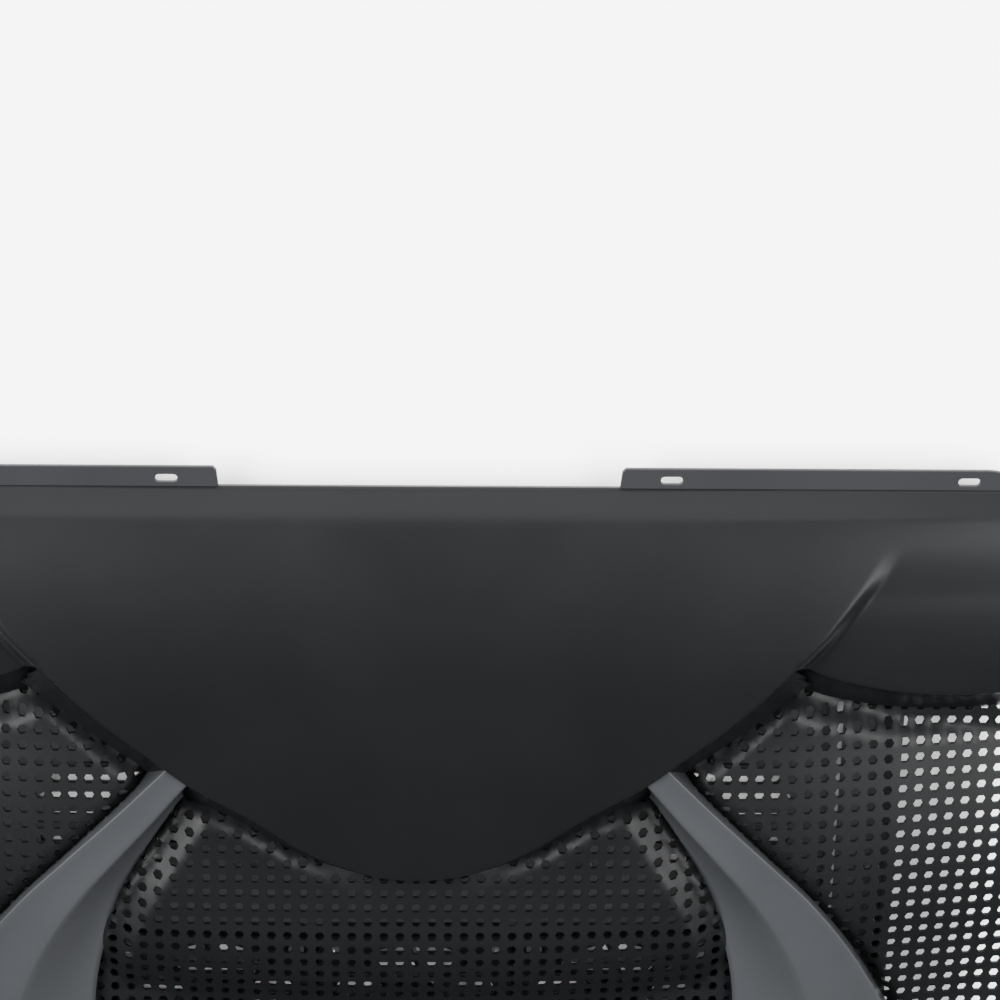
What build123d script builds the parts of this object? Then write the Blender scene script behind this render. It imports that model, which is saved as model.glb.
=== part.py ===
from build123d import *
import math
import os

# A laptop cooling pad, in millimetres.
# +Z is up, -Y faces the person at the keyboard, +Y is the raised rear edge.
# The origin is on the table, under the middle of the pad.

# ---------------------------------------------------------------- driving dimensions
HALF_WIDTH = 216.0          # deck, cowl and bezel, from the middle to either side
CORNER = 22.0               # plan radius of the pad's corners
SKIN = 2.2                  # thickness of the moulded skins
DECK_SKIN = 1.6             # thickness of the perforated deck
SEAM_Z = 14.0               # bottom edge of the top mouldings, top edge of the tray
CLEAR = 60.0                # a height above every piece, where cuts and outlines end

FLANGE_Y = 150.0            # rear edge of the two slotted tabs
BODY_REAR_Y = 143.0         # line where the tabs meet the cowl
FLANGE_TOP = 16.0
FLANGE_THICK = 2.0
TAB_INNER = 69.0            # inner end of each tab
SLOT_XS = (86.0, 188.0)
SLOT_Y = 145.8
SLOT_LENGTH = 7.6
SLOT_WIDTH = 2.8

CREST_Y = 76.0              # highest line of the cowl
CREST_Z = 40.0
TIP_Z = 33.6                # height of the cowl at the tip of the shield
POD_FRONT_Y = 76.0
POD_CREST_Y = 100.0
POD_CREST_Z = 34.5
POD_FRONT_Z = 33.0

DECK_REAR_Y = 124.0
DECK_FRONT_Y = -116.0
BEZEL_FRONT_Y = -150.0
BEZEL_TOP = 25.0
BEZEL_NOSE_Z = 21.0

TRAY_HALF_WIDTH = 172.0
TRAY_FRONT_Y = -146.0
TRAY_REAR_Y = 123.0
TRAY_CORNER = 16.0
FLOOR_Z = 2.5               # underside of the tray, on top of the rubber feet
FLOOR = 2.5
FLOOR_TOP = FLOOR_Z + FLOOR
INTAKE_PITCH = 8.0                # slots in the floor
INTAKE_WIDTH = 4.6
REAR_INTAKES = (-110.0, 0.0, 110.0)
REAR_INTAKE_Y = 10.0
REAR_INTAKE_R = 26.0

FAN_Y = -68.0
FAN_THICK = 10.0
FAN_SIZE = 70.0
FANS = {"centre": 0.0, "left": -73.0, "right": 73.0}   # x of each fan
FAN_SCREWS = FAN_SIZE / 2 - 5.0   # from a fan's middle to its corner holes, along each side
FAN_HOLE_GAP = 0.6                # round a screw in a fan frame
FAN_TUBE_R = 4.0
HUB_R = 11.5
BLADES = 9
SHAFT_R = 1.5
FIT = 0.05                  # radial clearance of a running fit

FOOT_R = 8.0
FEET = [(x, y) for x in (-158.0, 158.0) for y in (-132.0, 14.0, 108.0)]
POSTS = [(x, y) for x in (-164.0, -62.0, 62.0, 164.0) for y in (-8.0, 92.0)]
POST_R = 4.0
SCREW_R = 1.5
SCREW_HEAD_R = 2.8
SCREW_HEAD = 1.6
SCREW_LENGTH = 6.5
SCREW_KEY_R = 1.1                 # round recess in a screw head
SCREW_SEAT = FLOOR_Z + 1.0        # where the casing screws' heads bear, in the floor
POST_BORE = 9.0                   # depth of the screw hole in a post
BORE_GAP = 0.2                    # round a screw in the tray

STOP_XS = {"left": -95.0, "right": 95.0}
STOP_LENGTH = 46.0
STOP_DEPTH = 17.0
STOP_THICK = 4.0
STOP_PIVOT = (-141.0, 23.8)       # y, z of the stop hinges
STOP_BARREL_R = 2.4
STOP_GAP = 0.4                    # between a stop and the sides of its pocket
STOP_SINK = 3.0                   # pocket floor under the hinge axis
PIN_R = 1.25
LUG = 5.0

LEG_XS = {"left": -110.0, "right": 110.0}
LEG_WIDTH = 54.0
LEG_LENGTH = 34.0
LEG_THICK = 4.0
LEG_PIVOT = (72.0, 4.6)           # y, z of the leg hinges
LEG_FACE_Z = 2.4                  # underside of a folded leg
LEG_RAIL = 9.0                    # width of the leg's frame round its window
LEG_BARREL_R = 3.0
LEG_PAD = 1.0

BUTTON_X = -22.0
DIAL_X = 22.0
CONTROL_Y = -130.0
BUTTON_R = 6.0
BUTTON_FOOT = BEZEL_TOP - 5.0     # lower end of the button's plunger
BUTTON_TRAVEL = 1.2
DIAL_R = 9.0
DIAL_FLUTES = 24
FLUTE_R = 0.7
STEM_R = 3.0
CONTROL_GAP = 0.4                 # round the button and the dial
LENS_LENGTH = 14.4
LENS_WIDTH = 3.4
BOARD_Z = 15.6
BOARD_THICK = 1.6

SOCKET_XS = {"usb_socket_power": -14.0, "usb_socket_through": 14.0}
SOCKET = (14.4, 14.0, 7.0)        # width, depth and height of a USB shell
SOCKET_WALL = 0.9
SOCKET_Z = 6.8                    # underside of the shells, on their board

UPRIGHT = (Align.CENTER, Align.CENTER, Align.MIN)


# ---------------------------------------------------------------- helpers
def box(x0, x1, y0, y1, z0, z1):
    """A box between two corners."""
    middle = ((x0 + x1) / 2, (y0 + y1) / 2, (z0 + z1) / 2)
    return Pos(*middle) * Box(x1 - x0, y1 - y0, z1 - z0)


def rod(radius, z0, z1, x=0.0, y=0.0):
    """An upright cylinder."""
    return Pos(x, y, (z0 + z1) / 2) * Cylinder(radius, z1 - z0)


def rod_x(radius, x0, x1, y, z):
    """A cylinder that lies along X."""
    return Pos((x0 + x1) / 2, y, z) * Rot(0, 90, 0) * Cylinder(radius, x1 - x0)


def rounded_prism(x0, x1, y0, y1, z0, z1, radius):
    """A box with upright rounded corners."""
    plan = RectangleRounded(x1 - x0, y1 - y0, radius)
    return Pos((x0 + x1) / 2, (y0 + y1) / 2, z0) * extrude(plan, z1 - z0)


def plan_prism(edges, z0, z1):
    """A prism on a closed plan outline."""
    return Pos(0, 0, z0) * extrude(make_face(edges), z1 - z0, dir=(0, 0, 1))


def side_solid(edges, half_width):
    """A solid with one side profile in (y, z), as wide as the pad."""
    face = make_face([Plane.YZ * edge for edge in edges])
    return extrude(face, half_width, dir=(1, 0, 0)) + extrude(face, half_width, dir=(-1, 0, 0))


def mirrored(shape):
    """The same shape on the other side of the middle plane."""
    return mirror(shape, about=Plane.YZ)


def slot_prism(length, width, z0, z1, x, y):
    """An upright slot with round ends, its long way across the pad."""
    plan = SlotOverall(length, width)
    return Pos(x, y, z0) * extrude(plan, z1 - z0)


def write(shape, name):
    """One STEP file for each named piece."""
    solids = shape.solids()
    result = solids[0] if len(solids) == 1 else Compound(children=list(solids))
    result.label = name
    export_step(result, os.path.join("parts", name + ".step"))


# ---------------------------------------------------------------- heights of the top mouldings
def crest_arc(y_rear, z_rear, y_crest, z_crest, drop_in):
    """The rear rise of the cowl as one arc that is level at its crest, moved in by drop_in."""
    run = y_rear - y_crest
    rise = z_crest - z_rear
    radius = (run * run + rise * rise) / (2 * rise)
    inner = radius - drop_in
    centre_z = z_crest - radius
    half = math.asin(run / radius) / 2
    end = 2 * half

    def point(angle):
        return (y_crest + inner * math.sin(angle), centre_z + inner * math.cos(angle))

    return point(end), point(half), point(0)


def cowl_side(drop_in):
    """Side profile of the shield and the rear band, down to the seam or lower."""
    rear, middle, crest = crest_arc(BODY_REAR_Y, FLANGE_TOP, CREST_Y, CREST_Z, drop_in)
    reach = CREST_Y + 6.0
    radius = (reach * reach) / (2 * (CREST_Z - TIP_Z)) - drop_in
    tip_angle = math.asin(reach / radius)
    centre_z = CREST_Z - drop_in - radius

    def front(angle):
        return (CREST_Y - radius * math.sin(angle), centre_z + radius * math.cos(angle))

    tip = front(tip_angle)
    return [
        Line((rear[0], SEAM_Z), rear),
        ThreePointArc(rear, middle, crest),
        ThreePointArc(crest, front(tip_angle / 2), tip),
        Line(tip, (tip[0], SEAM_Z)),
        Line((tip[0], SEAM_Z), (rear[0], SEAM_Z)),
    ]


def pod_side(drop_in):
    """Side profile of the lower pods beside the shield."""
    rear, middle, crest = crest_arc(BODY_REAR_Y, FLANGE_TOP, POD_CREST_Y, POD_CREST_Z, drop_in)
    front = (POD_FRONT_Y - 20.0, POD_FRONT_Z - 3.0 - drop_in)
    knee = (POD_FRONT_Y, POD_FRONT_Z - drop_in)
    return [
        Line((rear[0], SEAM_Z), rear),
        ThreePointArc(rear, middle, crest),
        Line(crest, knee),
        Line(knee, front),
        Line(front, (front[0], SEAM_Z)),
        Line((front[0], SEAM_Z), (rear[0], SEAM_Z)),
    ]


def deck_side(drop_in):
    """Side profile of the perforated deck: level at the rear, lower over the fans."""
    heights = [
        (DECK_REAR_Y, 17.0), (104.0, 22.5), (80.0, 26.6), (54.0, 29.6), (26.0, 30.6),
        (0.0, 29.6), (-28.0, 26.4), (-56.0, 22.0), (-84.0, 20.2), (DECK_FRONT_Y, 19.8),
    ]
    top = [(y, z - drop_in) for y, z in heights]
    return [
        Spline(*top),
        Line(top[-1], (DECK_FRONT_Y, SEAM_Z)),
        Line((DECK_FRONT_Y, SEAM_Z), (DECK_REAR_Y, SEAM_Z)),
        Line((DECK_REAR_Y, SEAM_Z), top[0]),
    ]


# ---------------------------------------------------------------- plan outlines
def shield_plan(inset):
    """Plan of the raised shield: straight across the rear, a blunt point to the front."""
    side = [(164.0, 127.5), (145.0, 105.3), (130.0, 86.3), (106.0, 61.6), (80.0, 40.2), (57.0, 25.0), (37.0, 11.2)]
    right = [(x - inset, y + inset) for x, y in side]
    left = [(-x, y) for x, y in reversed(right)]
    rear = BODY_REAR_Y + 2.0
    return [
        Spline(*(right + [(0.0, inset * 1.2)] + left)),
        Line(left[-1], (left[-1][0], rear)),
        Line((left[-1][0], rear), (right[0][0], rear)),
        Line((right[0][0], rear), right[0]),
    ]


def pod_plan(inset):
    """Plan of one pod, on the right."""
    inner = 110.0
    outer = HALF_WIDTH - inset
    front_inner = (138.0, 81.5 + inset)
    front_middle = (181.0, 73.8 + inset)
    front_outer = (outer, 77.0 + inset)
    rear = BODY_REAR_Y + 2.0
    return [
        ThreePointArc(front_inner, front_middle, front_outer),
        Line(front_outer, (outer, rear)),
        Line((outer, rear), (inner, rear)),
        Line((inner, rear), (inner, 94.0 + inset)),
        Line((inner, 94.0 + inset), front_inner),
    ]


def deck_plan(inset):
    """Plan of the deck, with round rear corners."""
    side = HALF_WIDTH - inset
    rear = DECK_REAR_Y - inset
    front = DECK_FRONT_Y
    radius = CORNER - inset
    corner = radius * (1 - math.sqrt(0.5))
    return [
        Line((-side, front), (side, front)),
        Line((side, front), (side, rear - radius)),
        ThreePointArc((side, rear - radius), (side - corner, rear - corner), (side - radius, rear)),
        Line((side - radius, rear), (radius - side, rear)),
        ThreePointArc((radius - side, rear), (corner - side, rear - corner), (-side, rear - radius)),
        Line((-side, rear - radius), (-side, front)),
    ]


def rib_plan():
    """Plan of one support rib, on the right: narrow at the shield, broad at the bezel."""
    outer = [(84.0, 49.0), (103.0, 29.0), (140.0, -8.5), (168.0, -50.0), (185.0, -88.0), (191.0, DECK_FRONT_Y)]
    inner = [(147.0, DECK_FRONT_Y), (144.5, -82.0), (139.0, -50.0), (117.0, -6.2), (90.6, 25.4), (75.0, 44.0)]
    return [
        Spline(*outer),
        Line(outer[-1], inner[0]),
        Spline(*inner),
        Line(inner[-1], outer[0]),
    ]


# ---------------------------------------------------------------- top mouldings
def deck_block(drop_in, inset):
    return side_solid(deck_side(drop_in), HALF_WIDTH) & plan_prism(deck_plan(inset), 0, CLEAR)


def make_deck():
    """The perforated deck: a skin with a rim, and the screw posts under it."""
    skin = deck_block(0, 0) - deck_block(DECK_SKIN, SKIN)
    under = deck_block(DECK_SKIN / 2, SKIN / 2)
    for x, y in POSTS:
        bore = rod(SCREW_R, 0, FLOOR_TOP + POST_BORE, x, y)
        inside = rod(POST_R, FLOOR_TOP, CLEAR, x, y) & under
        below = rod(POST_R, FLOOR_TOP, SEAM_Z, x, y)
        skin += (inside - bore) + (below - bore)
    return skin


def pad_outline(inset):
    """The whole pad in plan, from the bezel's nose to the rear edge of the tabs."""
    side = HALF_WIDTH - inset
    return rounded_prism(-side, side, BEZEL_FRONT_Y + inset, FLANGE_Y - inset, 0, CLEAR, CORNER - inset)


def cowl_block(drop_in, inset):
    shield = side_solid(cowl_side(drop_in), HALF_WIDTH) & plan_prism(shield_plan(inset), 0, CLEAR)
    pod_prism = plan_prism(pod_plan(inset), 0, CLEAR)
    pods = side_solid(pod_side(drop_in), HALF_WIDTH) & (pod_prism + mirrored(pod_prism))
    return shield + (pods & pad_outline(inset))


def flange_tab():
    """One slotted rear tab, on the right; its outer end follows the pad's round corner."""
    tab = box(TAB_INNER, HALF_WIDTH, BODY_REAR_Y - 3, FLANGE_Y, FLANGE_TOP - FLANGE_THICK, FLANGE_TOP)
    tab = tab & pad_outline(0)
    for x in SLOT_XS:
        tab -= slot_prism(SLOT_LENGTH, SLOT_WIDTH, 0, CLEAR, x, SLOT_Y)
    return tab


def make_cowl(deck_top):
    """The rear cowl: shield, band, two pods and two slotted tabs in one moulding."""
    shell = cowl_block(0, 0) - cowl_block(SKIN, SKIN) - deck_top
    tab = flange_tab() - cowl_block(SKIN, SKIN)
    return shell + tab + mirrored(tab)


def rib_top():
    """Side profile of the ribs, on the plane that carries the laptop."""
    rear = (60.0, 38.6)
    front = (DECK_FRONT_Y, BEZEL_TOP)
    return [
        Line(rear, front),
        Line(front, (front[0], SEAM_Z)),
        Line((front[0], SEAM_Z), (rear[0], SEAM_Z)),
        Line((rear[0], SEAM_Z), rear),
    ]


def make_rib(deck_top, cowl_solid):
    """One support rib, on the right: it stands on the deck and butts on the shield."""
    blade = side_solid(rib_top(), HALF_WIDTH) & plan_prism(rib_plan(), 0, CLEAR)
    return blade - deck_top - cowl_solid


def bezel_side(drop_in):
    """Side profile of the front bezel with its rounded nose."""
    nose = (BEZEL_FRONT_Y + drop_in, BEZEL_NOSE_Z - 3.0)
    curve = (BEZEL_FRONT_Y + 3.0 + drop_in * 0.7, BEZEL_NOSE_Z + 1.2 - drop_in * 0.7)
    top = (BEZEL_FRONT_Y + 10.0, BEZEL_TOP - 1.6 - drop_in)
    rear = (DECK_FRONT_Y, BEZEL_TOP - drop_in)
    return [
        ThreePointArc(nose, curve, top),
        Line(top, rear),
        Line(rear, (rear[0], 6.0)),
        Line((rear[0], 6.0), (nose[0], 6.0)),
        Line((nose[0], 6.0), nose),
    ]


def bezel_block(drop_in, inset):
    return side_solid(bezel_side(drop_in), HALF_WIDTH) & pad_outline(inset)


def stop_lugs(x):
    """The two lugs that hold one stop's hinge pin."""
    y, z = STOP_PIVOT
    near = STOP_LENGTH / 2 + STOP_GAP
    foot = z - STOP_SINK - SKIN
    lugs = rod_x(STOP_BARREL_R, x - near - LUG, x + near + LUG, y, z)
    lugs += box(x - near - LUG, x + near + LUG, y - STOP_BARREL_R, y + STOP_BARREL_R, foot, z)
    return lugs - box(x - near, x + near, y - CORNER, y + CORNER, 0, CLEAR)


def stop_pocket(x):
    """Hollow and floor of the pocket that one stop folds into."""
    y, z = STOP_PIVOT
    half = STOP_LENGTH / 2 + STOP_GAP
    hollow = box(x - half, x + half, y - 4.2, DECK_FRONT_Y - 4.0, z - STOP_SINK, CLEAR)
    floor = box(x - half - 2.6, x + half + 2.6, y - 6.5, DECK_FRONT_Y - 2.0, z - STOP_SINK - 2.0, z - STOP_SINK)
    return hollow, floor


def make_bezel():
    """The front bezel: shell, stop lugs and holes for the button, the dial and the lamp."""
    shell = bezel_block(0, 0) - bezel_block(SKIN, SKIN)
    for x in STOP_XS.values():
        hollow, floor = stop_pocket(x)
        shell += floor & bezel_block(0, 0)
        shell = shell - hollow + (stop_lugs(x) - bezel_block(SKIN, SKIN))
        shell -= rod_x(PIN_R, x - STOP_LENGTH, x + STOP_LENGTH, *STOP_PIVOT)
    shell -= rod(BUTTON_R + CONTROL_GAP, SEAM_Z, CLEAR, BUTTON_X, CONTROL_Y)
    shell -= rod(DIAL_R + CONTROL_GAP, SEAM_Z, CLEAR, DIAL_X, CONTROL_Y)
    shell -= slot_prism(LENS_LENGTH, LENS_WIDTH, SEAM_Z, CLEAR, 0, CONTROL_Y)
    return shell


# ---------------------------------------------------------------- tray
def intake_slots(x, y, radius):
    """Parallel intake slots that fill a circle in the floor."""
    count = int(radius // INTAKE_PITCH)
    cut = None
    for row in range(-count, count + 1):
        offset = row * INTAKE_PITCH
        length = 2 * math.sqrt(radius * radius - offset * offset)
        if length > 3 * INTAKE_WIDTH:
            slot = slot_prism(length, INTAKE_WIDTH, 0, SEAM_Z, x, y + offset)
            cut = slot if cut is None else cut + slot
    return cut


def leg_pocket(x):
    """Outer box and hollow of one leg pocket in the floor."""
    y, z = LEG_PIVOT
    half = LEG_WIDTH / 2
    outer = box(x - half - 6, x + half + 6, y - LEG_LENGTH - 3, y + 6.5, FLOOR_Z, 10.0)
    hollow = box(x - half - 0.5, x + half + 0.5, y - LEG_LENGTH - 0.8, y + 4.4, 0, 8.4)
    return outer, hollow


def make_tray():
    """The bottom tray: floor, low walls, intake slots, leg pockets and rear socket windows."""
    half = TRAY_HALF_WIDTH
    tray = rounded_prism(-half, half, TRAY_FRONT_Y, TRAY_REAR_Y, FLOOR_Z, SEAM_Z - 0.5, TRAY_CORNER)
    tray -= rounded_prism(
        SKIN - half, half - SKIN, TRAY_FRONT_Y + SKIN, TRAY_REAR_Y - SKIN, FLOOR_TOP, CLEAR, TRAY_CORNER - SKIN
    )
    for x in FANS.values():
        tray -= intake_slots(x, FAN_Y, FAN_SIZE / 2 - 5)
    for x in REAR_INTAKES:
        tray -= intake_slots(x, REAR_INTAKE_Y, REAR_INTAKE_R)
    for x in LEG_XS.values():
        outer, hollow = leg_pocket(x)
        tray = tray + outer - hollow
        tray -= rod_x(PIN_R, x - LEG_WIDTH / 2 - 4, x + LEG_WIDTH / 2 + 4, *LEG_PIVOT)
    for x, y in POSTS:
        tray -= rod(SCREW_R + BORE_GAP, 0, SEAM_Z, x, y)
        tray -= rod(SCREW_HEAD_R + BORE_GAP, 0, SCREW_SEAT, x, y)
    for x in SOCKET_XS.values():
        tray -= box(x - SOCKET[0] / 2, x + SOCKET[0] / 2, TRAY_REAR_Y - 5, TRAY_REAR_Y + 5, SOCKET_Z, SEAM_Z)
    return tray


# ---------------------------------------------------------------- fans
def make_fan_frame(x):
    """A square fan frame with a round duct, a hub plate on four struts and corner holes."""
    half = FAN_SIZE / 2
    z0, z1 = FLOOR_TOP, FLOOR_TOP + FAN_THICK
    duct = half - 3.0
    frame = rounded_prism(x - half, x + half, FAN_Y - half, FAN_Y + half, z0, z1, 5.0)
    frame -= rod(duct, 0, CLEAR, x, FAN_Y)
    hub = rod(HUB_R, z0, z0 + 2.0, x, FAN_Y) + rod(FAN_TUBE_R, z0, z0 + 7.0, x, FAN_Y)
    for turn in (45, 135, 225, 315):
        strut = Pos(x, FAN_Y, 0) * Rot(0, 0, turn) * box(0, duct + 1, -1.6, 1.6, z0, z0 + 2.0)
        hub += strut
    frame += hub
    frame -= rod(SHAFT_R + FIT, z0 + 1.2, CLEAR, x, FAN_Y)
    for dx in (-1, 1):
        for dy in (-1, 1):
            frame -= rod(SCREW_R + FAN_HOLE_GAP, 0, CLEAR, x + dx * FAN_SCREWS, FAN_Y + dy * FAN_SCREWS)
    return frame


def make_fan_stator(x):
    """The wound stator that sits on the bearing tube."""
    z0 = FLOOR_TOP + 2.4
    outer = HUB_R - 2.6
    ring = rod(outer * 0.55, z0, z0 + 4.6, x, FAN_Y)
    for turn in range(0, 360, 45):
        arm = box(0, outer - 0.6, -1.3, 1.3, z0 + 0.8, z0 + 3.8)
        shoe = box(outer - 1.6, outer, -2.4, 2.4, z0 + 0.8, z0 + 3.8)
        ring += Pos(x, FAN_Y, 0) * Rot(0, 0, turn) * (arm + shoe)
    return ring - rod(FAN_TUBE_R, 0, CLEAR, x, FAN_Y)


def make_fan_rotor(x):
    """Hub cup, shaft and curved blades in one piece."""
    tip_r = FAN_SIZE / 2 - 4.2
    z0 = FLOOR_TOP + 2.6
    top = FLOOR_TOP + FAN_THICK - 0.8
    rotor = rod(HUB_R, z0, top, x, FAN_Y) - rod(HUB_R - 1.6, z0 - 1, top - 1.8, x, FAN_Y)
    rotor += rod(SHAFT_R, FLOOR_TOP + 1.4, top - 1.0, x, FAN_Y)
    for index in range(BLADES):
        turn = index * 360.0 / BLADES
        middle = (HUB_R + tip_r) / 2
        start = (HUB_R - 0.8, 0.0)
        bow = (middle, (tip_r - HUB_R) * 0.14)
        tip = (tip_r * math.cos(math.radians(16)), tip_r * math.sin(math.radians(16)))
        line = ThreePointArc(start, bow, tip)
        blade = extrude(make_face(trace(line, 1.6).edges()), top - z0 - 1.4, dir=(0, 0, 1))
        rotor += Pos(x, FAN_Y, z0 + 0.4) * Rot(0, 0, turn) * blade
    return rotor


def screw(x, y, z, down):
    """A pan-head screw, its head seated at z and its shank running up or down from there."""
    head = Cylinder(SCREW_HEAD_R, SCREW_HEAD, align=UPRIGHT)
    key = Pos(0, 0, SCREW_HEAD / 3) * Cylinder(SCREW_KEY_R, SCREW_HEAD, align=UPRIGHT)
    shank = Pos(0, 0, -SCREW_LENGTH) * Cylinder(SCREW_R, SCREW_LENGTH, align=UPRIGHT)
    whole = head - key + shank
    return Pos(x, y, z) * (whole if down else Rot(180, 0, 0) * whole)


def group(shapes):
    """Several separate solids in one node."""
    return Compound(children=[solid for shape in shapes for solid in shape.solids()])


def make_fan_screws():
    """Four screws for each fan frame, with their heads on the frame."""
    heads = []
    for x in FANS.values():
        for dx in (-FAN_SCREWS, FAN_SCREWS):
            for dy in (-FAN_SCREWS, FAN_SCREWS):
                heads.append(screw(x + dx, FAN_Y + dy, FLOOR_TOP + FAN_THICK, True))
    return group(heads)


def make_casing_screws():
    """The screws that come up through the tray into the posts of the deck."""
    return group([screw(x, y, SCREW_SEAT, False) for x, y in POSTS])


# ---------------------------------------------------------------- hinged pieces
def make_stop(x):
    """One flip-up laptop stop, folded flat in its pocket."""
    y, z = STOP_PIVOT
    half = STOP_LENGTH / 2
    plate = box(x - half, x + half, y, y + STOP_DEPTH, z - STOP_THICK / 2, z + STOP_THICK / 2)
    plate = fillet(plate.edges().filter_by(Axis.X).sort_by(Axis.Y)[-2:], 1.6)
    barrel = rod_x(STOP_BARREL_R, x - half, x + half, y, z)
    return plate + barrel - rod_x(PIN_R + FIT, x - half - 1, x + half + 1, y, z)


def make_stop_pin(x):
    reach = STOP_LENGTH / 2 + LUG
    return rod_x(PIN_R, x - reach, x + reach, *STOP_PIVOT)


def make_leg(x):
    """One flip-out leg, folded up in its pocket under the tray."""
    y, z = LEG_PIVOT
    half = LEG_WIDTH / 2
    plate = box(x - half, x + half, y - LEG_LENGTH, y, LEG_FACE_Z, LEG_FACE_Z + LEG_THICK)
    plate -= box(x - half + LEG_RAIL, x + half - LEG_RAIL, y - LEG_LENGTH + LEG_RAIL, y - LEG_RAIL, 0, CLEAR)
    barrel = rod_x(LEG_BARREL_R, x - half, x + half, y, z)
    return plate + barrel - rod_x(PIN_R + FIT, x - half - 1, x + half + 1, y, z)


def make_leg_pad(x):
    """The rubber tread on the free edge of one leg."""
    half = LEG_WIDTH / 2
    edge = LEG_PIVOT[0] - LEG_LENGTH
    return box(x - half + 2, x + half - 2, edge + 1, edge + 7, LEG_FACE_Z - LEG_PAD, LEG_FACE_Z)


def make_leg_pin(x):
    reach = LEG_WIDTH / 2 + 4
    return rod_x(PIN_R, x - reach, x + reach, *LEG_PIVOT)


# ---------------------------------------------------------------- controls and electronics
def make_button():
    """The power button, a flanged plunger that travels down onto its switch."""
    plunger = rod(BUTTON_R, BUTTON_FOOT, BEZEL_TOP + 0.6, BUTTON_X, CONTROL_Y)
    plunger = fillet(plunger.edges().sort_by(Axis.Z)[-1], 0.8)
    return plunger


def make_switch():
    """The push switch under the button."""
    top = BUTTON_FOOT - BUTTON_TRAVEL - 0.3
    return box(BUTTON_X - 3, BUTTON_X + 3, CONTROL_Y - 3, CONTROL_Y + 3, BOARD_Z + BOARD_THICK, top)


def make_dial():
    """The fan speed dial: a knurled disc on a short stem."""
    top = BEZEL_TOP + 0.8
    dial = rod(DIAL_R, BEZEL_TOP - 2.4, top, DIAL_X, CONTROL_Y)
    for index in range(DIAL_FLUTES):
        angle = 2 * math.pi * index / DIAL_FLUTES
        x = DIAL_X + DIAL_R * math.cos(angle)
        y = CONTROL_Y + DIAL_R * math.sin(angle)
        dial -= rod(FLUTE_R, 0, CLEAR, x, y)
    stem = rod(STEM_R, BOARD_Z + BOARD_THICK + 2.0, BEZEL_TOP - 2.4, DIAL_X, CONTROL_Y)
    return dial + stem


def make_potentiometer():
    """The speed control that the dial's stem turns in."""
    z0 = BOARD_Z + BOARD_THICK
    body = box(DIAL_X - 6, DIAL_X + 6, CONTROL_Y - 6, CONTROL_Y + 6, z0, z0 + 4.0)
    return body - rod(STEM_R + FIT, z0 + 2.0 - FIT, CLEAR, DIAL_X, CONTROL_Y)


def make_lamp_lens():
    """The clear bar between the button and the dial."""
    return slot_prism(LENS_LENGTH, LENS_WIDTH, BEZEL_TOP - SKIN - 0.6, BEZEL_TOP - 0.2, 0, CONTROL_Y)


def make_lamp():
    """The small light-emitting part under the lens."""
    z0 = BOARD_Z + BOARD_THICK
    return box(-5, 5, CONTROL_Y - 1.4, CONTROL_Y + 1.4, z0, z0 + 1.6)


def make_board():
    """The control board, on four short legs over the tray floor."""
    board = box(-42, 42, -142.5, -119, BOARD_Z, BOARD_Z + BOARD_THICK)
    for x in (-38.0, 38.0):
        for y in (-138.0, -123.0):
            board += rod(2.4, FLOOR_TOP, BOARD_Z, x, y)
    return board


def make_socket(x):
    """One USB shell with its tongue, facing the rear."""
    width, depth, height = SOCKET
    z0 = SOCKET_Z
    y1 = TRAY_REAR_Y + 0.4
    shell = box(x - width / 2, x + width / 2, y1 - depth, y1, z0, z0 + height)
    inner = width / 2 - SOCKET_WALL
    shell -= box(x - inner, x + inner, y1 - depth + 1.5, y1 + 1, z0 + SOCKET_WALL, z0 + height - SOCKET_WALL)
    tongue = box(x - 5.2, x + 5.2, y1 - depth + 1, y1 - 1.5, z0 + SOCKET_WALL, z0 + SOCKET_WALL + 0.7)
    return shell + tongue


def make_socket_board():
    """The small board under the two sockets."""
    return box(-28, 28, TRAY_REAR_Y - 22, TRAY_REAR_Y - SKIN - 0.3, FLOOR_TOP, SOCKET_Z)


def lead(points, radius, bend):
    """One lead along straight runs with round bends."""
    path = FilletPolyline(*points, radius=bend)
    start = Plane(path @ 0, z_dir=path % 0)
    return sweep(start * Circle(radius), path=path)


def make_fan_leads():
    """The leads from each fan frame to the control board, along the floor."""
    z = FLOOR_TOP + 1.4
    run = -126.0
    leads = [lead([(10, FAN_Y - 36, z), (10, run + 3, z), (30, run + 3, z)], 1.2, 5.0)]
    for side in (-1, 1):
        x = side * FANS["right"]
        points = [(x, FAN_Y - 36, z), (x, run, z), (side * 46.0, run, z)]
        leads.append(lead(points, 1.2, 8.0))
    return group(leads)


def make_feed_lead():
    """The lead from the socket board at the rear to the control board at the front."""
    z = FLOOR_TOP + 1.6
    points = [(30, 108, z), (150, 108, z), (150, -136, z), (46, -136, z)]
    return lead(points, 1.5, 9.0)


def make_feet():
    """Six rubber feet under the tray."""
    feet = []
    for x, y in FEET:
        foot = rod(FOOT_R, 0, FLOOR_Z, x, y)
        feet.append(fillet(foot.edges().sort_by(Axis.Z)[0], 0.8))
    return group(feet)


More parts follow.
